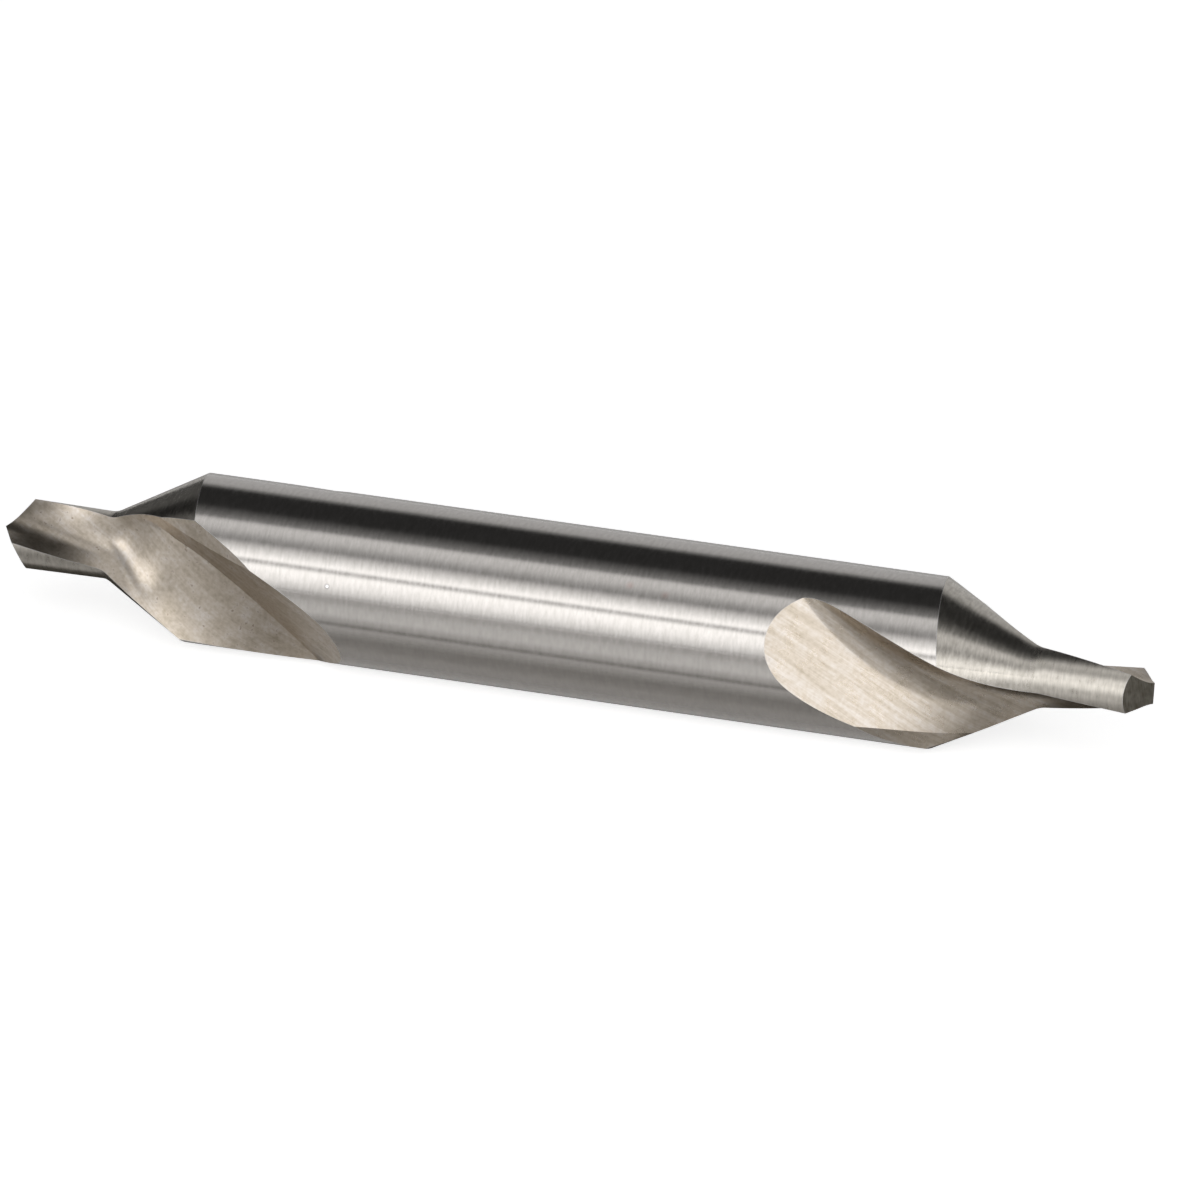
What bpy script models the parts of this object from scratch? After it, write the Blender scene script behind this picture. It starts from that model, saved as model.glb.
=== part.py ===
"""A double-ended centre drill: a ground round body with a pilot drill and a 60 degree countersink at each end.

The axis lies along X, the middle of the body is the origin and Z is up. Sizes are in millimetres and degrees
and are turned into metres where points are made. Each end is described in its own frame: u is the distance
from that end's tip, and angles go round the axis against the cutting turn, as seen from the middle of the body.
"""

import math

import bmesh
import bpy
from mathutils import Matrix, Vector

MM = 0.001

# Body, pilot and countersink
OVERALL_LENGTH = 43.9
BODY_DIAMETER = 6.3
PILOT_DIAMETER = 2.5
PILOT_TIP_EXTRA = 0.10
PILOT_LENGTH = 4.05
PILOT_CORNER_RADIUS = 0.8
COUNTERSINK_ANGLE = 60.0
COUNTERSINK_RELIEF = 5.2

# Drill point. The left end is ground blunter and with more relief behind its lips than the right end
POINT_ANGLE = {"right": 118.0, "left": 125.0}
LIP_RELIEF = {"right": 10.5, "left": 26.0}
GRINDING_STOCK = 0.3

# Flute: a floor that ramps up to the body surface, and a hollow wall that carries the cutting edges
CORE_DIAMETER = 0.62
FLUTE_LENGTH = 13.8
RAMP_ANGLE = 21.8
RUN_OUT_LENGTH = 0.9
RUN_OUT_RADIUS = 5.0
HOLLOW_RADIUS_PILOT = 1.2
HOLLOW_RADIUS_BODY = {"right": 1.8, "left": 10.0}
FOOT_ANGLE_PILOT = 0.0
FOOT_ANGLE_BODY = {"right": 8.0, "left": 29.0}

# Directions round the axis, in degrees, and how fast they turn along it, in degrees per millimetre
LIP_DIRECTION = {"right": -31.5, "left": -34.5}
LIP_END_DIRECTION = 51.5
LIP_TURN_HEAD = {"right": 4.4, "left": 8.6}
FLOOR_DIRECTION = -2.0
FLOOR_TURN_CONE = {"right": 10.3, "left": 13.5}
FLOOR_TURN_PILOT = 9.5

# Distances from the tip where the flute changes, and how gently it does so
LIP_TURN_CHANGE = {"right": 7.3, "left": 6.0}
FLOOR_TURN_END = {"right": 8.4, "left": 7.2}
BLEND = 0.8

# Facet along the heel: how far it lies from the middle of the floor, and how steeply it falls away
HEEL_FACET_OFFSET = 1.8
HEEL_FACET_DRIFT = 0.08
HEEL_FACET_ANGLE = 30.0

# How far each end's flutes are turned round the axis
ROLL = {"right": 27.2, "left": 35.8}

# Countersink land: how far round it is relieved behind the cutting edge, and where the next land's edge zone starts
LAND_ANGLE = 110.0
EDGE_ZONE = 35.0

# Facets
ROUND_STEPS = 120
CONE_STEPS = 4
CORNER_STEPS = 4
FLUTE_STEPS = 56
HEEL_STEPS = 4
FLOOR_STEPS = 5
HOLLOW_STEPS = 8
WALL_STEPS = 5
CUTTER_REACH = 6.0
CUTTER_OVERSHOOT = 0.5

BODY_RADIUS = BODY_DIAMETER / 2
PILOT_RADIUS = PILOT_DIAMETER / 2
CORE_RADIUS = CORE_DIAMETER / 2
CONE_SLOPE = math.tan(math.radians(COUNTERSINK_ANGLE / 2))


def clear_scene():
    for obj in list(bpy.data.objects):
        bpy.data.objects.remove(obj)


def steel(name, colour, roughness):
    material = bpy.data.materials.new(name)
    material.use_nodes = True
    shader = material.node_tree.nodes["Principled BSDF"]
    shader.inputs["Base Color"].default_value = (*colour, 1.0)
    shader.inputs["Metallic"].default_value = 1.0
    shader.inputs["Roughness"].default_value = roughness
    return material


def direction(angle):
    """Unit vector across the axis at an angle in degrees."""
    return Vector((math.cos(math.radians(angle)), math.sin(math.radians(angle))))


def end_point(u, across, roll):
    """A point of the right-hand end in metres, from u and a vector across the axis."""
    turned = Matrix.Rotation(math.radians(roll), 2) @ across
    return Vector((OVERALL_LENGTH / 2 - u, -turned.x, turned.y)) * MM


def turn_to_left(point):
    """The same point on the left-hand end, which is the right-hand one turned half round the Y axis."""
    return Vector((-point.x, point.y, -point.z))


def soft_ramp(x):
    """Zero before 0 and x after it, with a smooth bend of length BLEND."""
    return BLEND * math.log1p(math.exp(-abs(x) / BLEND)) + max(x, 0.0)


def lip_direction(end, u):
    """Direction of the flute wall where it meets the lip: it turns at one rate along the head, then at another."""
    head = LIP_DIRECTION[end] + LIP_TURN_HEAD[end] * u
    left_over = LIP_END_DIRECTION - LIP_DIRECTION[end] - LIP_TURN_HEAD[end] * FLUTE_LENGTH
    return head + left_over * soft_ramp(u - LIP_TURN_CHANGE[end]) / (FLUTE_LENGTH - LIP_TURN_CHANGE[end])


def floor_direction(end, u):
    """Direction that the flute floor faces: it follows the helix along the head and stands still on the ramp."""
    turned = FLOOR_TURN_CONE[end] * soft_ramp(FLOOR_TURN_END[end] - u)
    return FLOOR_DIRECTION - turned + (FLOOR_TURN_CONE[end] - FLOOR_TURN_PILOT) * soft_ramp(PILOT_LENGTH - u)


def along_head(on_pilot, on_body, u):
    """Blends from the value on the pilot to the one on the body."""
    corner = PILOT_LENGTH + (BODY_RADIUS - PILOT_RADIUS) / CONE_SLOPE
    share = min(max((u - PILOT_LENGTH) / (corner - PILOT_LENGTH), 0.0), 1.0)
    return on_pilot + (on_body - on_pilot) * share * share * (3 - 2 * share)


def run_out_rise(u):
    past = max(u - (FLUTE_LENGTH - RUN_OUT_LENGTH), 0.0)
    return past * past / (2 * RUN_OUT_RADIUS)


def floor_height(u):
    """Distance of the flute floor from the axis: the core radius along the head, then a ramp up to the body."""
    slope = math.tan(math.radians(RAMP_ANGLE))
    ramp_length = (BODY_RADIUS - CORE_RADIUS - run_out_rise(FLUTE_LENGTH)) / slope
    return CORE_RADIUS + slope * soft_ramp(u - (FLUTE_LENGTH - ramp_length)) + run_out_rise(u)


def pilot_radius(u):
    """The pilot is slightly thicker at its tip, so that it doesn't rub."""
    return PILOT_RADIUS + PILOT_TIP_EXTRA / 2 * (1 - u / PILOT_LENGTH)


def relief_shift(end, angle):
    """How far the countersink's body corner moves back from the tip behind the cutting edge."""
    corner = PILOT_LENGTH + (BODY_RADIUS - PILOT_RADIUS) / CONE_SLOPE
    edge = lip_direction(end, corner) - math.degrees(math.asin(CORE_RADIUS / BODY_RADIUS))
    behind = (angle - edge) % 180.0
    if behind > 180.0 - EDGE_ZONE:
        return 0.0
    if behind > LAND_ANGLE:
        behind = LAND_ANGLE * (180.0 - EDGE_ZONE - behind) / (180.0 - EDGE_ZONE - LAND_ANGLE)
    return BODY_RADIUS * math.tan(math.radians(COUNTERSINK_RELIEF)) * math.radians(behind) / CONE_SLOPE


def blank_column(end, angle):
    """(u, radius) along the unfluted end at one angle: pilot, rounded corner, relieved cone, body."""
    corner = PILOT_LENGTH + (BODY_RADIUS - PILOT_RADIUS) / CONE_SLOPE + relief_shift(end, angle)
    root = PILOT_LENGTH + relief_shift(end, angle) * PILOT_DIAMETER / BODY_DIAMETER
    slope = (BODY_RADIUS - PILOT_RADIUS) / (corner - root)
    half = PILOT_CORNER_RADIUS * math.tan(math.atan(slope) / 2)
    column = [(-GRINDING_STOCK, pilot_radius(-GRINDING_STOCK))]
    start = Vector((root - half, pilot_radius(root - half)))
    knee = Vector((root, PILOT_RADIUS))
    finish = knee + Vector((1.0, slope)).normalized() * half
    for step in range(CORNER_STEPS + 1):
        t = step / CORNER_STEPS
        column.append(tuple((1 - t) ** 2 * start + 2 * t * (1 - t) * knee + t * t * finish))
    for step in range(1, CONE_STEPS + 1):
        column.append(tuple(finish.lerp(Vector((corner, BODY_RADIUS)), step / CONE_STEPS)))
    column.append((FLUTE_LENGTH + CUTTER_OVERSHOOT, BODY_RADIUS))
    return column


def blank_rings():
    """Rings of points from the left end to the right end."""
    left = []
    right = []
    for step in range(ROUND_STEPS):
        angle = 360.0 * step / ROUND_STEPS
        right.append([end_point(u, direction(angle - ROLL["right"]) * r, ROLL["right"])
                      for u, r in blank_column("right", angle - ROLL["right"])])
        left.append([turn_to_left(end_point(u, direction(-angle - ROLL["left"]) * r, ROLL["left"]))
                     for u, r in blank_column("left", -angle - ROLL["left"])])
    rows = len(right[0])
    return [[column[i] for column in left] for i in range(rows)] + \
           [[column[i] for column in right] for i in reversed(range(rows))]


def bridge(mesh, rings):
    """Faces between closed rings of points, with both ends capped."""
    verts = [[mesh.verts.new(point) for point in ring] for ring in rings]
    count = len(rings[0])
    for first, second in zip(verts, verts[1:]):
        for i in range(count):
            j = (i + 1) % count
            mesh.faces.new((first[i], first[j], second[j], second[i]))
    mesh.faces.new(verts[0])
    mesh.faces.new(verts[-1])
    bmesh.ops.recalc_face_normals(mesh, faces=mesh.faces)


def grind_flank(mesh, tip, facing):
    """Cuts off what lies beyond one flank plane of the drill point and closes the cut."""
    everything = mesh.verts[:] + mesh.edges[:] + mesh.faces[:]
    cut = bmesh.ops.bisect_plane(mesh, geom=everything, plane_co=tip, plane_no=facing, clear_outer=True)
    edges = [item for item in cut["geom_cut"] if isinstance(item, bmesh.types.BMEdge)]
    bmesh.ops.contextual_create(mesh, geom=edges)


def flank_facing(side, end):
    """Outward direction of a flank plane: it slopes by the point angle along the lip and by the relief behind it."""
    along = 1 / math.tan(math.radians(POINT_ANGLE[end] / 2))
    behind = math.tan(math.radians(LIP_RELIEF[end]))
    steepest = LIP_DIRECTION[end] + math.degrees(math.atan2(behind, along))
    across = direction(steepest + side) * math.hypot(along, behind)
    return end_point(OVERALL_LENGTH / 2 - 1, across, ROLL[end])


def make_blank(material):
    mesh = bmesh.new()
    bridge(mesh, blank_rings())
    tip = Vector((OVERALL_LENGTH / 2 * MM, 0, 0))
    for side in (0.0, 180.0):
        grind_flank(mesh, tip, flank_facing(side, "right"))
        grind_flank(mesh, -tip, turn_to_left(flank_facing(side, "left")))
    bmesh.ops.recalc_face_normals(mesh, faces=mesh.faces)
    return add_object("centre_drill", mesh, material)


def flute_section(end, u, side):
    """Outline of the flute across the axis: heel facet, floor, hollow wall, and far points outside the body."""
    facing = floor_direction(end, u) + side
    floor_out = direction(facing)
    floor_along = direction(facing - 90)
    heel_along = direction(facing - 90 - HEEL_FACET_ANGLE)
    wall_out = direction(lip_direction(end, u) - 90 + side)
    wall_along = direction(lip_direction(end, u) + side)
    hollow = along_head(HOLLOW_RADIUS_PILOT, HOLLOW_RADIUS_BODY[end], u)
    foot = along_head(FOOT_ANGLE_PILOT, FOOT_ANGLE_BODY[end], u)
    centre = Matrix((floor_out, wall_out)).inverted() @ Vector(
        (floor_height(u) + hollow * math.cos(math.radians(foot)), CORE_RADIUS + hollow))
    start = facing + 180 - foot
    sweep = lip_direction(end, u) + side + 90 - start
    floor_end = centre + direction(start) * hollow
    wall_end = centre - wall_out * hollow
    ridge = floor_out * floor_height(u) + floor_along * (HEEL_FACET_OFFSET + HEEL_FACET_DRIFT * u)
    outline = [ridge + heel_along * CUTTER_REACH * (1 - i / HEEL_STEPS) for i in range(HEEL_STEPS)]
    outline += [ridge.lerp(floor_end, i / FLOOR_STEPS) for i in range(FLOOR_STEPS)]
    outline += [centre + direction(start + sweep * i / HOLLOW_STEPS) * hollow for i in range(HOLLOW_STEPS + 1)]
    outline += [wall_end + wall_along * CUTTER_REACH * i / WALL_STEPS for i in range(1, WALL_STEPS + 1)]
    outline.append(outline[-1] + wall_out * CUTTER_REACH)
    outline.append(outline[0] + floor_out * CUTTER_REACH)
    return outline


def make_flute_cutter(name, end, side, material):
    mesh = bmesh.new()
    first = -GRINDING_STOCK - CUTTER_OVERSHOOT
    last = FLUTE_LENGTH + CUTTER_OVERSHOOT
    rings = []
    for step in range(FLUTE_STEPS + 1):
        u = first + (last - first) * step / FLUTE_STEPS
        ring = [end_point(u, point, ROLL[end]) for point in flute_section(end, u, side)]
        rings.append([turn_to_left(point) for point in ring] if end == "left" else ring)
    bridge(mesh, rings)
    cutter = add_object(name, mesh, material)
    cutter.hide_render = True
    cutter.display_type = "WIRE"
    return cutter


def add_object(name, mesh, material):
    data = bpy.data.meshes.new(name)
    mesh.to_mesh(data)
    mesh.free()
    data.materials.append(material)
    obj = bpy.data.objects.new(name, data)
    bpy.context.scene.collection.objects.link(obj)
    return obj


def cut_flutes(blank, material):
    for end in ROLL:
        for number, side in enumerate((0.0, 180.0), 1):
            cutter = make_flute_cutter(f"{end}_flute_{number}", end, side, material)
            cut = blank.modifiers.new(cutter.name, "BOOLEAN")
            cut.operation = "DIFFERENCE"
            cut.solver = "EXACT"
            cut.material_mode = "TRANSFER"
            cut.object = cutter


def main():
    clear_scene()
    ground = steel("ground_steel", (0.60, 0.59, 0.57), 0.28)
    flute = steel("flute_steel", (0.58, 0.54, 0.49), 0.42)
    blank = make_blank(ground)
    cut_flutes(blank, flute)
    blank.data.shade_smooth()
    blank.data.set_sharp_from_angle(angle=math.radians(28))


main()
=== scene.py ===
"""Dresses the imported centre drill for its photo: a fine mesh of the same form, its steel, light and camera.

The axis lies along X and the middle of the body is the origin. Sizes are in millimetres and degrees and are
turned into metres where points are made. Each end is described in its own frame: u is the distance from that
end's tip, and angles go round the axis against the cutting turn, as seen from the middle of the body.
"""

import math

import bmesh
import bpy
from mathutils import Matrix, Vector


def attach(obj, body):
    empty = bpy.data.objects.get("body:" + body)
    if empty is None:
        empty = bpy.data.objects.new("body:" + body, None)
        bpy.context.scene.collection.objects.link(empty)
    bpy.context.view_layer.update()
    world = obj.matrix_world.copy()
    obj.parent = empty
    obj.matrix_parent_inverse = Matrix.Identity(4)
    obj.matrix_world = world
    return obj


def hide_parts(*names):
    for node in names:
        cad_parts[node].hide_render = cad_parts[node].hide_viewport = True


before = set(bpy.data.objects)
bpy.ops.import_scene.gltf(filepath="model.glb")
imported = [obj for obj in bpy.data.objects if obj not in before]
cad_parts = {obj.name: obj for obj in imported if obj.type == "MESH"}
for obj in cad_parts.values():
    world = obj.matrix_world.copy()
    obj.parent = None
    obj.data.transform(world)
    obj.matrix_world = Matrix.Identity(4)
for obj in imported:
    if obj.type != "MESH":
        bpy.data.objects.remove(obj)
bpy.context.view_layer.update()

MM = 0.001

# The tool's form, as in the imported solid
OVERALL_LENGTH = 43.9
BODY_DIAMETER = 6.3
PILOT_DIAMETER = 2.5
PILOT_TIP_EXTRA = 0.10
PILOT_LENGTH = 4.05
PILOT_CORNER_RADIUS = 0.8
COUNTERSINK_ANGLE = 60.0
COUNTERSINK_RELIEF = 5.2
POINT_ANGLE = {"right": 118.0, "left": 125.0}
LIP_RELIEF = {"right": 10.5, "left": 26.0}
GRINDING_STOCK = 0.3
CORE_DIAMETER = 0.62
FLUTE_LENGTH = 13.8
RAMP_ANGLE = 21.8
RUN_OUT_LENGTH = 0.9
RUN_OUT_RADIUS = 5.0
HOLLOW_RADIUS_PILOT = 1.2
HOLLOW_RADIUS_BODY = {"right": 1.8, "left": 10.0}
FOOT_ANGLE_PILOT = 0.0
FOOT_ANGLE_BODY = {"right": 8.0, "left": 29.0}
LIP_DIRECTION = {"right": -31.5, "left": -34.5}
LIP_END_DIRECTION = 51.5
LIP_TURN_HEAD = {"right": 4.4, "left": 8.6}
FLOOR_DIRECTION = -2.0
FLOOR_TURN_CONE = {"right": 10.3, "left": 13.5}
FLOOR_TURN_PILOT = 9.5
LIP_TURN_CHANGE = {"right": 7.3, "left": 6.0}
FLOOR_TURN_END = {"right": 8.4, "left": 7.2}
BLEND = 0.8
HEEL_FACET_OFFSET = 1.8
HEEL_FACET_DRIFT = 0.08
HEEL_FACET_ANGLE = 30.0
ROLL = {"right": 27.2, "left": 35.8}
LAND_ANGLE = 110.0
EDGE_ZONE = 35.0

# Facets, finer than the solid's
ROUND_STEPS = 360
PILOT_STEPS = 10
CORNER_STEPS = 8
CONE_STEPS = 14
END_STEPS = 26
MIDDLE_STEPS = 20
FLUTE_STEPS = 120
HEEL_STEPS = 10
FLOOR_STEPS = 10
HOLLOW_STEPS = 24
WALL_STEPS = 12
CUTTER_REACH = 6.0
CUTTER_OVERSHOOT = 0.5
SHARP_ANGLE = 22.0

# The tool's materials in their order. The head is what lies inside the body's radius by this margin.
BODY_STEEL, FLUTE_STEEL, FLANK_STEEL, HEAD_STEEL = range(4)
HEAD_MARGIN = 0.02

# Each steel's plain colour and roughness, under its marks
BODY_PLAIN = ((0.60, 0.59, 0.57), 0.14)
# The flutes' warm beige tint is a painted reflection of a warm surrounding.
FLUTE_PLAIN = ((0.62, 0.545, 0.465), 0.28)
# The flanks' dark colour is painted shade.
FLANK_PLAIN = ((0.36, 0.335, 0.285), 0.45)
HEAD_PLAIN = ((0.60, 0.565, 0.51), 0.2)

# Scales of the noise that draws the marks, per metre along X, Y and Z. The flute's hairs and streaks are
# per millimetre across the marks and along them.
BODY_FINE = (9000, 2600, 2600)
BODY_BROAD = (4500, 1600, 1600)
HEAD_FINE = (12000, 2200, 2200)
HEAD_MOTTLE = (5000, 3500, 3500)
FLUTE_HAIRS = (17, 0.9, 0)
FLUTE_STREAKS = (3.5, 0.35, 0)
FLUTE_PATCHES = (1600, 1600, 1600)
FLUTE_GRAIN = (6500, 6500, 6500)
FLANK_LINES = (2500, 12000, 2500)
FLANK_PATCHES = (3000, 3000, 3000)
NOISE_MIDDLE = (0.3, 0.7)

# Depth of the marks
BODY_BUMP = 0.0001
HEAD_BUMP = 0.0003
FLUTE_BUMP = 0.0025
FLANK_BUMP = 0.003

# Grinding marks in the flutes: how far they move towards the heel for each millimetre towards the tip, and
# for each millimetre out from the floor's ramp
MARK_SLANT = 0.51
MARK_SHARE_OUT = 0.3

# Worn edges with a painted highlight: along edges the steel is rougher, as real wear, and paler, as a painted
# highlight of the rounded edge. Both are full where the rounded normal leans from the true one as far as the
# first cosine, and gone at the second.
EDGE_WIDTH = 0.05
EDGE_SAMPLES = 4
WORN_HIGHLIGHT_COLOUR = (0.70, 0.69, 0.68)
WORN_ROUGHNESS = 0.5
GROUND_WEAR_AND_HIGHLIGHT = (0.965, 0.995)
FLUTE_WEAR_AND_HIGHLIGHT = (0.75, 0.92)

# Colours and roughness that the noise gives. The two ends differ in how much mottle is mixed with the flute's
# marks, how many of its specks are kept and how rough it is.
BODY_TONES = [(0.35, (0.555, 0.530, 0.503)), (0.65, (0.650, 0.621, 0.595))]
BODY_ROUGHNESS = (0.11, 0.17)
HEAD_TONES = [(0.35, (0.50, 0.47, 0.42)), (0.65, (0.70, 0.66, 0.60))]
HEAD_ROUGHNESS = 0.11
HEAD_ROUGHNESS_NOISE = 0.17
PILOT_EXTRA_ROUGHNESS = 0.10
PILOT_ROUGHNESS_FADE = 1.0
# The flutes' tones carry the same painted warm reflection.
FLUTE_TONES = [(0.36, (0.44, 0.38, 0.30)), (0.5, (0.60, 0.53, 0.448)), (0.64, (0.74, 0.69, 0.645))]
FLUTE_ROUGHNESS = (0.25, 0.32)
FLUTE_EXTRA_ROUGHNESS = {"right": 0.0, "left": 0.04}
FLUTE_MOTTLE = {"right": 0.42, "left": 0.60}
SPECKS = [(0.64, 0.0), (0.73, 0.8)]
SPECKS_KEPT = {"right": 0.35, "left": 1.0}
SPECK_COLOUR = (0.33, 0.25, 0.18)
# The flanks' dark tones are painted shade.
FLANK_SHADED_TONES = [(0.38, (0.25, 0.23, 0.185)), (0.62, (0.46, 0.43, 0.375))]

# Small marks on the body: a pit drawn in colour, with a painted glint in its middle and painted shade at its
# rim, and two faint reddish marks
PIT = (-8.499, -2.957, 1.084)
PIT_SIZE = 0.13
PIT_MIDDLE = [(0.3, 1.0), (0.5, 0.0)]
PIT_GLINT_COLOUR = (1.0, 1.0, 1.0)
PIT_RIM = [(0.35, 0.0), (0.6, 0.5), (0.9, 0.0)]
PIT_RIM_SHADE_COLOUR = (0.25, 0.25, 0.26)
RED_MARKS = [(2.795, -2.044, 2.395), (4.171, -2.187, 2.266)]
RED_MARK_SIZE = 0.2
RED_MARK_STRENGTH = 0.5
RED_MARK_COLOUR = (0.58, 0.42, 0.38)

# Light: a half-round tent of cloth over the tool. Its bands are (elevation, brightness), from the table in
# front, over the top, to the table behind. Its sides are (place along the tool, share of the brightness), one
# list for low elevations and one for high, and the fade is where the first list gives way to the second. A
# ramp holds no more than 1, so the bands and the sides are divided by their limits, and the strength makes up
# for both.
TENT_RADIUS = 320.0
TENT_LENGTH = 1200.0
TENT_STEPS = 48
TENT_BANDS = [
    (0, 0.40), (4, 0.90), (9, 1.13), (14, 1.40), (22, 1.62), (28.5, 1.76), (31, 0.85), (34, 0.48),
    (37, 1.83), (40, 1.65), (44, 1.32), (52, 0.84), (59, 0.32), (64, 0.455), (72, 0.74), (81, 0.85),
    (84.5, 0.72), (87, 0.27), (92, 0.19), (98, 0.11), (105, 0.03), (138, 0.028), (144, 0.20), (149, 0.46),
    (155, 0.51), (180, 0.52)]
TENT_SIDES_LOW = [(-600, 2.0), (-300, 1.9), (-250, 0.9), (-215, 0.1), (-175, 0.1), (-145, 1.0), (600, 1.0)]
TENT_SIDES_HIGH = [(-600, 0.5), (-420, 0.4), (-350, 0.2), (-230, 0.15), (-185, 0.1), (-150, 1.0), (600, 1.0)]
TENT_SIDES_FADE = (20, 34)
BAND_LIMIT = 2.0
SIDE_LIMIT = 3.0
TENT_END_LEVEL = 0.16

# The table and the background are white to the camera and in the steel. Other rays find a matt table in a
# dimmer room.
FLOOR_SIZE = (4000.0, 4000.0)
FLOOR_GLOW = 0.74
FLOOR_COLOUR = (0.8, 0.8, 0.8)
ROOM_LEVEL = 0.35
BACKGROUND_LEVEL = 1.0

# A grey card on the table. Its cover is (distance in front of the axis, share), and the distances are
# squeezed into a ramp, with half of each side of it inside CARD_SCALE.
CARD_SIZE = (240.0, 600.0)
CARD_LIFT = 0.03
CARD_SCALE = 10.0
CARD_COVER = [
    (-300.0, 0.58), (-25.0, 0.64), (-10.0, 1.0), (0.9, 1.0), (1.3, 0.67), (1.6, 0.67), (2.3, 0.73),
    (2.9, 0.74), (3.5, 0.80), (4.2, 0.82), (5.1, 0.70), (5.9, 0.59), (6.6, 0.84), (7.3, 0.625),
    (8.5, 0.515), (10.3, 0.37), (15.3, 0.405), (22.0, 0.465), (30.0, 0.55), (60.0, 0.60), (110.0, 0.65),
    (300.0, 0.64)]
CARD_COLOUR = (0.140, 0.129, 0.112)

# Camera, from the photo's outline
CAMERA_PLACE = (132.37, -404.88, 207.766)
CAMERA_AIM = (0.841, 0.462, 0.354)
LENS = 390.0
SENSOR_WIDTH = 36.0
CLIP = (10.0, 5000.0)

# Each end has two flutes and two flanks, half a turn apart
SIDES = (0.0, 180.0)

BODY_RADIUS = BODY_DIAMETER / 2
PILOT_RADIUS = PILOT_DIAMETER / 2
CORE_RADIUS = CORE_DIAMETER / 2
CONE_SLOPE = math.tan(math.radians(COUNTERSINK_ANGLE / 2))
CONE_END = PILOT_LENGTH + (BODY_RADIUS - PILOT_RADIUS) / CONE_SLOPE
RAMP_SLOPE = math.tan(math.radians(RAMP_ANGLE))


def direction(angle):
    """Unit vector across the axis at an angle in degrees."""
    return Vector((math.cos(math.radians(angle)), math.sin(math.radians(angle))))


def end_point(u, across, roll):
    """A point of the right-hand end in metres, from u and a vector across the axis."""
    turned = Matrix.Rotation(math.radians(roll), 2) @ across
    return Vector((OVERALL_LENGTH / 2 - u, -turned.x, turned.y)) * MM


def turn_to_left(point):
    """The same point on the left-hand end, which is the right-hand one turned half round the Y axis."""
    return Vector((-point.x, point.y, -point.z))


def soft_ramp(x):
    """Zero before 0 and x after it, with a smooth bend of length BLEND."""
    return BLEND * math.log1p(math.exp(-abs(x) / BLEND)) + max(x, 0.0)


def lip_direction(end, u):
    """Direction of the flute wall at the lip: it turns at one rate along the head, then at another."""
    head = LIP_DIRECTION[end] + LIP_TURN_HEAD[end] * u
    left_over = LIP_END_DIRECTION - LIP_DIRECTION[end] - LIP_TURN_HEAD[end] * FLUTE_LENGTH
    return head + left_over * soft_ramp(u - LIP_TURN_CHANGE[end]) / (FLUTE_LENGTH - LIP_TURN_CHANGE[end])


def floor_direction(end, u):
    """Direction that the flute floor faces: it follows the helix on the head and stands still on the ramp."""
    turned = FLOOR_TURN_CONE[end] * soft_ramp(FLOOR_TURN_END[end] - u)
    return FLOOR_DIRECTION - turned + (FLOOR_TURN_CONE[end] - FLOOR_TURN_PILOT) * soft_ramp(PILOT_LENGTH - u)


def along_head(on_pilot, on_body, u):
    """Blends from the value on the pilot to the one on the body."""
    share = min(max((u - PILOT_LENGTH) / (CONE_END - PILOT_LENGTH), 0.0), 1.0)
    return on_pilot + (on_body - on_pilot) * share * share * (3 - 2 * share)


def run_out_rise(u):
    """How far the last stretch of the floor curves up from the ramp."""
    past = max(u - (FLUTE_LENGTH - RUN_OUT_LENGTH), 0.0)
    return past * past / (2 * RUN_OUT_RADIUS)


def floor_height(u):
    """Distance of the flute floor from the axis: the core radius along the head, then a ramp to the body."""
    ramp_length = (BODY_RADIUS - CORE_RADIUS - run_out_rise(FLUTE_LENGTH)) / RAMP_SLOPE
    return CORE_RADIUS + RAMP_SLOPE * soft_ramp(u - (FLUTE_LENGTH - ramp_length)) + run_out_rise(u)


def pilot_radius(u):
    """The pilot is slightly thicker at its tip, so that it doesn't rub."""
    return PILOT_RADIUS + PILOT_TIP_EXTRA / 2 * (1 - u / PILOT_LENGTH)


def relief_shift(end, angle):
    """How far the countersink's body corner moves back from the tip behind the cutting edge."""
    edge = lip_direction(end, CONE_END) - math.degrees(math.asin(CORE_RADIUS / BODY_RADIUS))
    behind = (angle - edge) % 180.0
    if behind > 180.0 - EDGE_ZONE:
        return 0.0
    if behind > LAND_ANGLE:
        behind = LAND_ANGLE * (180.0 - EDGE_ZONE - behind) / (180.0 - EDGE_ZONE - LAND_ANGLE)
    return BODY_RADIUS * math.tan(math.radians(COUNTERSINK_RELIEF)) * math.radians(behind) / CONE_SLOPE


def blank_column(end, angle):
    """(u, radius) along the unfluted end at one angle: pilot, rounded corner, relieved cone, body."""
    corner = CONE_END + relief_shift(end, angle)
    root = PILOT_LENGTH + relief_shift(end, angle) * PILOT_DIAMETER / BODY_DIAMETER
    slope = (BODY_RADIUS - PILOT_RADIUS) / (corner - root)
    half = PILOT_CORNER_RADIUS * math.tan(math.atan(slope) / 2)
    column = []
    for step in range(PILOT_STEPS):
        u = -GRINDING_STOCK + (root - half + GRINDING_STOCK) * step / PILOT_STEPS
        column.append((u, pilot_radius(u)))
    start = Vector((root - half, pilot_radius(root - half)))
    knee = Vector((root, PILOT_RADIUS))
    finish = knee + Vector((1.0, slope)).normalized() * half
    for step in range(CORNER_STEPS + 1):
        t = step / CORNER_STEPS
        column.append(tuple((1 - t) ** 2 * start + 2 * t * (1 - t) * knee + t * t * finish))
    for step in range(1, CONE_STEPS + 1):
        column.append(tuple(finish.lerp(Vector((corner, BODY_RADIUS)), step / CONE_STEPS)))
    last = FLUTE_LENGTH + CUTTER_OVERSHOOT
    for step in range(1, END_STEPS + 1):
        column.append((corner + (last - corner) * step / END_STEPS, BODY_RADIUS))
    return column


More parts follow.
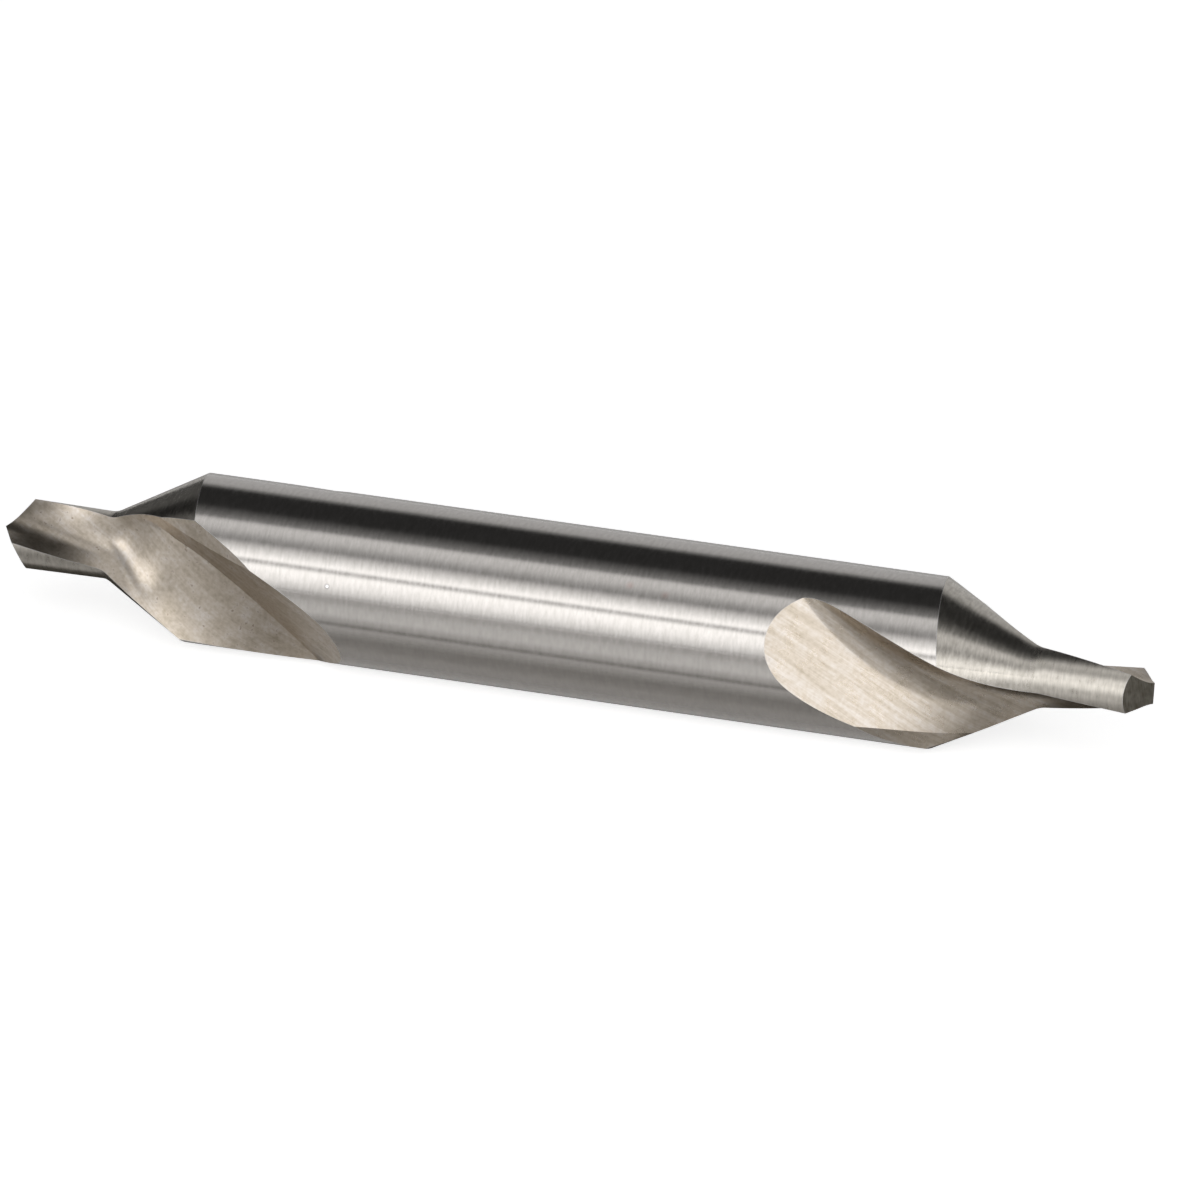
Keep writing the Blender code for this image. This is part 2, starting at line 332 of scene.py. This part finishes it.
def blank_rings():
    """Rings of points from the left end to the right end."""
    left = []
    right = []
    for step in range(ROUND_STEPS):
        angle = 360.0 * step / ROUND_STEPS
        right.append([end_point(u, direction(angle - ROLL["right"]) * r, ROLL["right"])
                      for u, r in blank_column("right", angle - ROLL["right"])])
        left.append([turn_to_left(end_point(u, direction(-angle - ROLL["left"]) * r, ROLL["left"]))
                     for u, r in blank_column("left", -angle - ROLL["left"])])
    rows = len(right[0])
    rings = [[column[i] for column in left] for i in range(rows)]
    for step in range(1, MIDDLE_STEPS):
        rings.append([a[-1].lerp(b[-1], step / MIDDLE_STEPS) for a, b in zip(left, right)])
    rings += [[column[i] for column in right] for i in reversed(range(rows))]
    return rings


def bridge(mesh, rings):
    """Faces between closed rings of points, with both ends capped."""
    verts = [[mesh.verts.new(point) for point in ring] for ring in rings]
    count = len(rings[0])
    for first, second in zip(verts, verts[1:]):
        for i in range(count):
            j = (i + 1) % count
            mesh.faces.new((first[i], first[j], second[j], second[i]))
    mesh.faces.new(verts[0])
    mesh.faces.new(verts[-1])
    bmesh.ops.recalc_face_normals(mesh, faces=mesh.faces)


def grind_flank(mesh, tip, facing):
    """Cuts off what lies beyond one flank plane of the drill point and closes the cut."""
    everything = mesh.verts[:] + mesh.edges[:] + mesh.faces[:]
    cut = bmesh.ops.bisect_plane(mesh, geom=everything, plane_co=tip, plane_no=facing, clear_outer=True)
    edges = [item for item in cut["geom_cut"] if isinstance(item, bmesh.types.BMEdge)]
    made = bmesh.ops.contextual_create(mesh, geom=edges)
    for face in made["faces"]:
        face.material_index = FLANK_STEEL


def flank_facing(side, end):
    """Outward direction of a flank plane: it slopes by the point angle and by the relief behind the lip."""
    along = 1 / math.tan(math.radians(POINT_ANGLE[end] / 2))
    behind = math.tan(math.radians(LIP_RELIEF[end]))
    steepest = LIP_DIRECTION[end] + math.degrees(math.atan2(behind, along))
    across = direction(steepest + side) * math.hypot(along, behind)
    return end_point(OVERALL_LENGTH / 2 - 1, across, ROLL[end])


def make_blank(materials):
    """The unfluted tool, with a steel for its body, its head and the flanks of its points."""
    mesh = bmesh.new()
    bridge(mesh, blank_rings())
    tip = Vector((OVERALL_LENGTH / 2 * MM, 0, 0))
    for side in SIDES:
        grind_flank(mesh, tip, flank_facing(side, "right"))
        grind_flank(mesh, -tip, turn_to_left(flank_facing(side, "left")))
    bmesh.ops.recalc_face_normals(mesh, faces=mesh.faces)
    for face in mesh.faces:
        in_head = face.calc_center_median().yz.length < (BODY_RADIUS - HEAD_MARGIN) * MM
        if face.material_index == BODY_STEEL and in_head:
            face.material_index = HEAD_STEEL
    return add_object("fine_centre_drill", mesh, materials)


def flute_section(end, u, side):
    """Outline of the flute across the axis: heel facet, floor, hollow, wall and far points outside."""
    facing = floor_direction(end, u) + side
    floor_out = direction(facing)
    floor_along = direction(facing - 90)
    heel_along = direction(facing - 90 - HEEL_FACET_ANGLE)
    wall_out = direction(lip_direction(end, u) - 90 + side)
    wall_along = direction(lip_direction(end, u) + side)
    hollow = along_head(HOLLOW_RADIUS_PILOT, HOLLOW_RADIUS_BODY[end], u)
    foot = along_head(FOOT_ANGLE_PILOT, FOOT_ANGLE_BODY[end], u)
    centre = Matrix((floor_out, wall_out)).inverted() @ Vector(
        (floor_height(u) + hollow * math.cos(math.radians(foot)), CORE_RADIUS + hollow))
    start = facing + 180 - foot
    sweep = lip_direction(end, u) + side + 90 - start
    floor_end = centre + direction(start) * hollow
    wall_end = centre - wall_out * hollow
    ridge = floor_out * floor_height(u) + floor_along * (HEEL_FACET_OFFSET + HEEL_FACET_DRIFT * u)
    outline = [ridge + heel_along * CUTTER_REACH * (1 - i / HEEL_STEPS) for i in range(HEEL_STEPS)]
    outline += [ridge.lerp(floor_end, i / FLOOR_STEPS) for i in range(FLOOR_STEPS)]
    for step in range(HOLLOW_STEPS + 1):
        outline.append(centre + direction(start + sweep * step / HOLLOW_STEPS) * hollow)
    outline += [wall_end + wall_along * CUTTER_REACH * i / WALL_STEPS for i in range(1, WALL_STEPS + 1)]
    outline.append(outline[-1] + wall_out * CUTTER_REACH)
    outline.append(outline[0] + floor_out * CUTTER_REACH)
    return outline


def make_flute_cutter(name, end, side, material):
    """A swept solid of the flute's section, a little longer than the flute."""
    mesh = bmesh.new()
    first = -GRINDING_STOCK - CUTTER_OVERSHOOT
    last = FLUTE_LENGTH + CUTTER_OVERSHOOT
    rings = []
    for step in range(FLUTE_STEPS + 1):
        u = first + (last - first) * step / FLUTE_STEPS
        ring = [end_point(u, point, ROLL[end]) for point in flute_section(end, u, side)]
        rings.append([turn_to_left(point) for point in ring] if end == "left" else ring)
    bridge(mesh, rings)
    return add_object(name, mesh, [material])


def add_object(name, mesh, materials):
    """Puts a mesh in the scene as an object with its materials."""
    data = bpy.data.meshes.new(name)
    mesh.to_mesh(data)
    mesh.free()
    for material in materials:
        data.materials.append(material)
    obj = bpy.data.objects.new(name, data)
    bpy.context.scene.collection.objects.link(obj)
    return obj


def cut_flutes(blank, material):
    """Cuts the four flutes and keeps the result as a plain mesh."""
    cutters = []
    for end in ROLL:
        for number, side in enumerate(SIDES, 1):
            cutter = make_flute_cutter(f"{end}_flute_{number}", end, side, material)
            cut = blank.modifiers.new(cutter.name, "BOOLEAN")
            cut.operation = "DIFFERENCE"
            cut.solver = "EXACT"
            cut.material_mode = "TRANSFER"
            cut.object = cutter
            cutters.append(cutter)
    bpy.context.view_layer.update()
    evaluated = blank.evaluated_get(bpy.context.evaluated_depsgraph_get())
    finished = bpy.data.meshes.new_from_object(evaluated)
    blank.modifiers.clear()
    blank.data = finished
    for cutter in cutters:
        bpy.data.objects.remove(cutter)


def end_frame(point):
    """(end, u, vector across the axis) of a point in metres."""
    end = "left" if point.x < 0 else "right"
    place = (turn_to_left(point) if end == "left" else point) / MM
    across = Matrix.Rotation(math.radians(-ROLL[end]), 2) @ Vector((-place.y, place.z))
    return end, OVERALL_LENGTH / 2 - place.x, across


def flute_marks(end, u, across):
    """Coordinates for the flute's grinding marks: across them and along them."""
    if across.dot(direction(lip_direction(end, u) - 90)) < 0:
        across = -across
    heel_side = across.dot(direction(floor_direction(end, u) - 90))
    out = across.dot(direction(lip_direction(end, u)))
    return heel_side + MARK_SLANT * u - MARK_SHARE_OUT * (out - RAMP_SLOPE * u), u, 0.0


def write_marks(obj):
    """Stores the flute's own coordinates on its mesh, where the steel's marks are drawn from them."""
    data = obj.data
    marks = data.attributes.new("marks", "FLOAT_VECTOR", "POINT")
    for vertex in data.vertices:
        end, u, across = end_frame(vertex.co)
        marks.data[vertex.index].vector = flute_marks(end, u, across)


def node(tree, kind, values=(), **settings):
    """Adds a shader node, sets it up, and links or sets its inputs."""
    made = tree.nodes.new(kind)
    for name, value in settings.items():
        setattr(made, name, value)
    for name, value in dict(values).items():
        if isinstance(value, bpy.types.NodeSocket):
            tree.links.new(value, made.inputs[name])
        else:
            made.inputs[name].default_value = value
    return made


def maths(tree, operation, *values):
    """Result of a math node on sockets and numbers."""
    return node(tree, "ShaderNodeMath", dict(enumerate(values)), operation=operation).outputs["Value"]


def map_range(tree, value, old, new=(0.0, 1.0)):
    """Turns one range of values into another, and stays inside it."""
    values = {"Value": value, "From Min": old[0], "From Max": old[1], "To Min": new[0], "To Max": new[1]}
    return node(tree, "ShaderNodeMapRange", values).outputs["Result"]


def ramp(tree, fac, stops):
    """A colour ramp from (place, grey or colour) stops."""
    made = node(tree, "ShaderNodeValToRGB", {"Fac": fac})
    elements = made.color_ramp.elements
    while len(elements) < len(stops):
        elements.new(0.5)
    for element, (place, value) in zip(elements, stops):
        element.position = place
        colour = value if isinstance(value, tuple) else (value, value, value)
        element.color = (*colour, 1.0)
    return made.outputs["Color"]


def own_place(tree):
    """Each point's place in its object's own coordinates, in metres."""
    return node(tree, "ShaderNodeTexCoord").outputs["Object"]


def part_of(tree, vector, axis):
    """One coordinate of a vector."""
    return node(tree, "ShaderNodeSeparateXYZ", {"Vector": vector}).outputs[axis]


def mix_numbers(tree, share, first, second):
    """Blends two numbers, which are the node's sockets 2 and 3."""
    return node(tree, "ShaderNodeMix", {"Factor": share, 2: first, 3: second}, data_type="FLOAT").outputs[0]


def blend_colour(tree, colour, share, blended):
    """Blends a colour with another. For colours, the node's sockets are 6, 7 and 2."""
    values = {"Factor": share, 6: colour, 7: (*blended, 1.0)}
    return node(tree, "ShaderNodeMix", values, data_type="RGBA").outputs[2]


def steel(name, plain):
    """A bare steel of one colour and roughness, with its tree and shader ready for marks."""
    colour, roughness = plain
    material = bpy.data.materials.new(name)
    material.use_nodes = True
    tree = material.node_tree
    shader = tree.nodes["Principled BSDF"]
    shader.inputs["Base Color"].default_value = (*colour, 1.0)
    shader.inputs["Metallic"].default_value = 1.0
    shader.inputs["Roughness"].default_value = roughness
    return material, tree, shader


def stretched_noise(tree, vector, scale, detail=3.0):
    """Noise with its own scale along each axis of its coordinates, per metre or millimetre."""
    place = node(tree, "ShaderNodeMapping", {"Vector": vector, "Scale": scale}).outputs["Vector"]
    return node(tree, "ShaderNodeTexNoise", {"Vector": place, "Scale": 1.0, "Detail": detail}).outputs["Fac"]


def blend_noises(tree, noise, share, other):
    """Adds up two noises, the first with the given share and the other with the rest."""
    return maths(tree, "MULTIPLY_ADD", other, 1.0 - share, maths(tree, "MULTIPLY", noise, share))


def noise_to_roughness(tree, noise, roughness):
    """Spreads the middle of a noise over a range of roughness."""
    return map_range(tree, noise, NOISE_MIDDLE, roughness)


def bump(tree, shader, height, depth):
    """Raises marks on the steel."""
    values = {"Height": height, "Strength": 1.0, "Distance": depth * MM}
    tree.links.new(node(tree, "ShaderNodeBump", values).outputs["Normal"], shader.inputs["Normal"])


def edge_wear_and_highlight(tree, full_wear_and_highlight, no_wear_and_highlight):
    """One along edges and zero elsewhere, from the cosine between the rounded normal and the true one."""
    bevel = node(tree, "ShaderNodeBevel", {"Radius": EDGE_WIDTH * MM}, samples=EDGE_SAMPLES)
    values = {0: bevel.outputs["Normal"], 1: node(tree, "ShaderNodeNewGeometry").outputs["Normal"]}
    lean = node(tree, "ShaderNodeVectorMath", values, operation="DOT_PRODUCT").outputs["Value"]
    return ramp(tree, lean, [(full_wear_and_highlight, 1.0), (no_wear_and_highlight, 0.0)])


def link_steel(tree, shader, colour, roughness, wear_and_highlight):
    """Links colour and roughness to the shader, with rougher steel along worn edges and a paler colour there
    as a painted highlight.
    """
    # The paler colour along edges is a painted highlight; the rougher steel there is wear.
    tree.links.new(blend_colour(tree, colour, wear_and_highlight, WORN_HIGHLIGHT_COLOUR), shader.inputs["Base Color"])
    tree.links.new(mix_numbers(tree, wear_and_highlight, roughness, WORN_ROUGHNESS), shader.inputs["Roughness"])


def distance_to(tree, place, point):
    """Distance in metres of each point of the surface from a given one."""
    values = {0: place, 1: Vector(point) * MM}
    return node(tree, "ShaderNodeVectorMath", values, operation="DISTANCE").outputs["Value"]


def marks_and_painted_pit(tree, place, tone):
    """Adds the reddish marks, and the pit's painted glint and painted rim shade, to the body's colour."""
    for point in RED_MARKS:
        away = distance_to(tree, place, point)
        share = map_range(tree, away, (0.0, RED_MARK_SIZE * MM), (RED_MARK_STRENGTH, 0.0))
        tone = blend_colour(tree, tone, share, RED_MARK_COLOUR)
    # The pit: painted shade at its rim and a painted glint in its middle.
    share = map_range(tree, distance_to(tree, place, PIT), (0.0, PIT_SIZE * MM))
    tone = blend_colour(tree, tone, ramp(tree, share, PIT_RIM), PIT_RIM_SHADE_COLOUR)
    return blend_colour(tree, tone, ramp(tree, share, PIT_MIDDLE), PIT_GLINT_COLOUR)


def ground_steel():
    """Body: fine grinding marks round the axis."""
    material, tree, shader = steel("ground_steel", BODY_PLAIN)
    place = own_place(tree)
    fine = stretched_noise(tree, place, BODY_FINE)
    broad = stretched_noise(tree, place, BODY_BROAD)
    both = blend_noises(tree, fine, 0.7, broad)
    tone = marks_and_painted_pit(tree, place, ramp(tree, both, BODY_TONES))
    rough = noise_to_roughness(tree, both, BODY_ROUGHNESS)
    link_steel(tree, shader, tone, rough, edge_wear_and_highlight(tree, *GROUND_WEAR_AND_HIGHLIGHT))
    bump(tree, shader, fine, BODY_BUMP)
    return material


def head_steel():
    """Countersink and pilot: a coarser, yellowish grind round the axis, roughest on the pilot."""
    material, tree, shader = steel("head_steel", HEAD_PLAIN)
    place = own_place(tree)
    fine = stretched_noise(tree, place, HEAD_FINE)
    mottle = stretched_noise(tree, place, HEAD_MOTTLE)
    both = blend_noises(tree, fine, 0.55, mottle)
    away = maths(tree, "ABSOLUTE", part_of(tree, place, "X"))
    root = OVERALL_LENGTH / 2 - PILOT_LENGTH
    fade = ((root - PILOT_ROUGHNESS_FADE) * MM, root * MM)
    rougher = map_range(tree, away, fade, (0.0, PILOT_EXTRA_ROUGHNESS))
    rough = maths(tree, "MULTIPLY_ADD", both, HEAD_ROUGHNESS_NOISE, rougher)
    rough = maths(tree, "ADD", rough, HEAD_ROUGHNESS)
    link_steel(tree, shader, ramp(tree, both, HEAD_TONES), rough, edge_wear_and_highlight(tree, *GROUND_WEAR_AND_HIGHLIGHT))
    bump(tree, shader, both, HEAD_BUMP)
    return material


def by_end(tree, place, values):
    """One value on the right half of the tool and another on the left half."""
    return map_range(tree, part_of(tree, place, "X"), (MM, -MM), (values["right"], values["left"]))


def flute_steel():
    """Flutes: rougher steel with marks along them, patches, and specks, mostly on the left; its warm tint is
    a painted reflection.
    """
    material, tree, shader = steel("flute_steel", FLUTE_PLAIN)
    marks = node(tree, "ShaderNodeAttribute", attribute_name="marks").outputs["Vector"]
    place = own_place(tree)
    hairs = stretched_noise(tree, marks, FLUTE_HAIRS)
    streaks = stretched_noise(tree, marks, FLUTE_STREAKS)
    patches = stretched_noise(tree, place, FLUTE_PATCHES, 5.0)
    grain = stretched_noise(tree, place, FLUTE_GRAIN)
    lines = blend_noises(tree, hairs, 0.35, streaks)
    mottle = blend_noises(tree, patches, 0.45, grain)
    both = mix_numbers(tree, by_end(tree, place, FLUTE_MOTTLE), lines, mottle)
    specks = maths(tree, "MULTIPLY", ramp(tree, grain, SPECKS), by_end(tree, place, SPECKS_KEPT))
    tone = blend_colour(tree, ramp(tree, both, FLUTE_TONES), specks, SPECK_COLOUR)
    extra = by_end(tree, place, FLUTE_EXTRA_ROUGHNESS)
    rough = maths(tree, "ADD", noise_to_roughness(tree, patches, FLUTE_ROUGHNESS), extra)
    link_steel(tree, shader, tone, rough, edge_wear_and_highlight(tree, *FLUTE_WEAR_AND_HIGHLIGHT))
    bump(tree, shader, both, FLUTE_BUMP)
    return material


def flank_steel():
    """Drill point: the coarser, rougher grind of its flanks, whose dark olive colour is painted shade."""
    material, tree, shader = steel("flank_steel", FLANK_PLAIN)
    place = own_place(tree)
    lines = stretched_noise(tree, place, FLANK_LINES)
    patches = stretched_noise(tree, place, FLANK_PATCHES)
    both = blend_noises(tree, lines, 0.5, patches)
    tree.links.new(ramp(tree, both, FLANK_SHADED_TONES), shader.inputs["Base Color"])
    bump(tree, shader, both, FLANK_BUMP)
    return material


def make_tool():
    """The dressed centre drill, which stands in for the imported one."""
    materials = [ground_steel(), flute_steel(), flank_steel(), head_steel()]
    tool = make_blank(materials)
    cut_flutes(tool, materials[FLUTE_STEEL])
    write_marks(tool)
    tool.data.shade_smooth()
    tool.data.set_sharp_from_angle(angle=math.radians(SHARP_ANGLE))
    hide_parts("centre_drill")
    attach(tool, "root")


def sees_background(tree):
    """One for rays that see the white background: the camera's own, and those in metal or through glass."""
    path = node(tree, "ShaderNodeLightPath")
    seen = maths(tree, "MAXIMUM", path.outputs["Is Camera Ray"], path.outputs["Is Glossy Ray"])
    return maths(tree, "MAXIMUM", seen, path.outputs["Is Transmission Ray"])


def empty_material(name):
    """A material with nothing in its tree yet, and the tree."""
    material = bpy.data.materials.new(name)
    material.use_nodes = True
    material.node_tree.nodes.clear()
    return material, material.node_tree


def matt_shader(tree, colour):
    """A plain matt surface."""
    return node(tree, "ShaderNodeBsdfDiffuse", {"Color": (*colour, 1.0)}).outputs[0]


def add_plane(name, size, height, material):
    """A level rectangle with its middle over or under the origin."""
    x = size[0] * MM / 2
    y = size[1] * MM / 2
    z = height * MM
    mesh = bmesh.new()
    mesh.faces.new([mesh.verts.new(place) for place in ((-x, -y, z), (x, -y, z), (x, y, z), (-x, y, z))])
    return add_object(name, mesh, [material])


def make_floor():
    """A pale table, white to the camera and in the steel, which keeps the tool's shadow."""
    material, tree = empty_material("white_table")
    glow = maths(tree, "MULTIPLY", sees_background(tree), FLOOR_GLOW)
    white = node(tree, "ShaderNodeEmission", {"Strength": glow}).outputs[0]
    both = node(tree, "ShaderNodeAddShader", {0: white, 1: matt_shader(tree, FLOOR_COLOUR)}).outputs[0]
    node(tree, "ShaderNodeOutputMaterial", {"Surface": both})
    floor = add_plane("floor", FLOOR_SIZE, -BODY_RADIUS, material)


def squeezed(place):
    """Place on the card's ramp of a distance in front of the axis: 0 is far behind, 1 is far in front."""
    return 0.5 + place / (abs(place) + CARD_SCALE) / 2


def make_card():
    """A grey card that only the steel sees, because in the photo the steel mirrors a darker table."""
    material, tree = empty_material("grey_card")
    y = part_of(tree, own_place(tree), "Y")
    whole = maths(tree, "ADD", maths(tree, "ABSOLUTE", y), CARD_SCALE * MM)
    share = map_range(tree, maths(tree, "DIVIDE", y, whole), (1.0, -1.0))
    cover = ramp(tree, share, [(squeezed(place), value) for place, value in CARD_COVER])
    clear = node(tree, "ShaderNodeBsdfTransparent").outputs[0]
    values = {0: cover, 1: clear, 2: matt_shader(tree, CARD_COLOUR)}
    node(tree, "ShaderNodeOutputMaterial", {"Surface": node(tree, "ShaderNodeMixShader", values).outputs[0]})
    card = add_plane("grey_card", CARD_SIZE, CARD_LIFT - BODY_RADIUS, material)
    card.visible_camera = False
    card.visible_shadow = False
    card.visible_diffuse = False


def tent_sides(tree, x, sides):
    """Share of the tent's brightness at each place along the tool."""
    along = map_range(tree, x, (-TENT_LENGTH * MM / 2, TENT_LENGTH * MM / 2))
    return ramp(tree, along, [(place / TENT_LENGTH + 0.5, value / SIDE_LIMIT) for place, value in sides])


def tent_cloth():
    """Cloth that glows by elevation and by place along the tool."""
    material, tree = empty_material("tent_cloth")
    place = own_place(tree)
    front = maths(tree, "MULTIPLY", part_of(tree, place, "Y"), -1.0)
    angle = maths(tree, "ARCTAN2", part_of(tree, place, "Z"), front)
    level = ramp(tree, maths(tree, "DIVIDE", angle, math.pi),
                 [(elevation / 180, value / BAND_LIMIT) for elevation, value in TENT_BANDS])
    x = part_of(tree, place, "X")
    fade = [math.radians(elevation) for elevation in TENT_SIDES_FADE]
    ends = (tent_sides(tree, x, TENT_SIDES_LOW), tent_sides(tree, x, TENT_SIDES_HIGH))
    strength = maths(tree, "MULTIPLY", map_range(tree, angle, fade, ends), BAND_LIMIT * SIDE_LIMIT)
    glow = node(tree, "ShaderNodeEmission", {"Color": level, "Strength": strength}).outputs[0]
    node(tree, "ShaderNodeOutputMaterial", {"Surface": glow})
    return material


def dark_cloth():
    """The tent's two ends."""
    material, tree = empty_material("dark_cloth")
    glow = node(tree, "ShaderNodeEmission", {"Color": (TENT_END_LEVEL, TENT_END_LEVEL, TENT_END_LEVEL, 1.0)})
    node(tree, "ShaderNodeOutputMaterial", {"Surface": glow.outputs[0]})
    return material


def make_tent():
    """A half-round tent of cloth along the tool, with the bright and dark bands that the steel mirrors."""
    mesh = bmesh.new()
    rows = []
    for step in range(TENT_STEPS + 1):
        angle = math.pi * step / TENT_STEPS
        y = -math.cos(angle) * TENT_RADIUS * MM
        z = math.sin(angle) * TENT_RADIUS * MM
        rows.append([mesh.verts.new((x * MM, y, z)) for x in (-TENT_LENGTH / 2, TENT_LENGTH / 2)])
    for first, second in zip(rows, rows[1:]):
        mesh.faces.new((first[0], first[1], second[1], second[0]))
    for number in (0, 1):
        mesh.faces.new([row[number] for row in rows]).material_index = 1
    tent = add_object("light_tent", mesh, [tent_cloth(), dark_cloth()])
    tent.visible_camera = False
    tent.visible_shadow = False


def make_world():
    """A dim room with a white background."""
    world = bpy.data.worlds.new("room")
    world.use_nodes = True
    tree = world.node_tree
    tree.nodes.clear()
    level = map_range(tree, sees_background(tree), (0.0, 1.0), (ROOM_LEVEL, BACKGROUND_LEVEL))
    room = node(tree, "ShaderNodeBackground", {"Strength": level}).outputs[0]
    node(tree, "ShaderNodeOutputWorld", {"Surface": room})
    bpy.context.scene.world = world


def make_camera():
    """The photo's view."""
    camera = bpy.data.objects.new("camera", bpy.data.cameras.new("camera"))
    bpy.context.scene.collection.objects.link(camera)
    place = Vector(CAMERA_PLACE) * MM
    camera.location = place
    camera.rotation_euler = (place - Vector(CAMERA_AIM) * MM).to_track_quat("Z", "Y").to_euler()
    camera.data.lens = LENS
    camera.data.sensor_width = SENSOR_WIDTH
    camera.data.clip_start = CLIP[0] * MM
    camera.data.clip_end = CLIP[1] * MM
    bpy.context.scene.camera = camera


make_tool()
make_floor()
make_card()
make_tent()
make_world()
make_camera()
bpy.context.scene.view_settings.view_transform = "Standard"
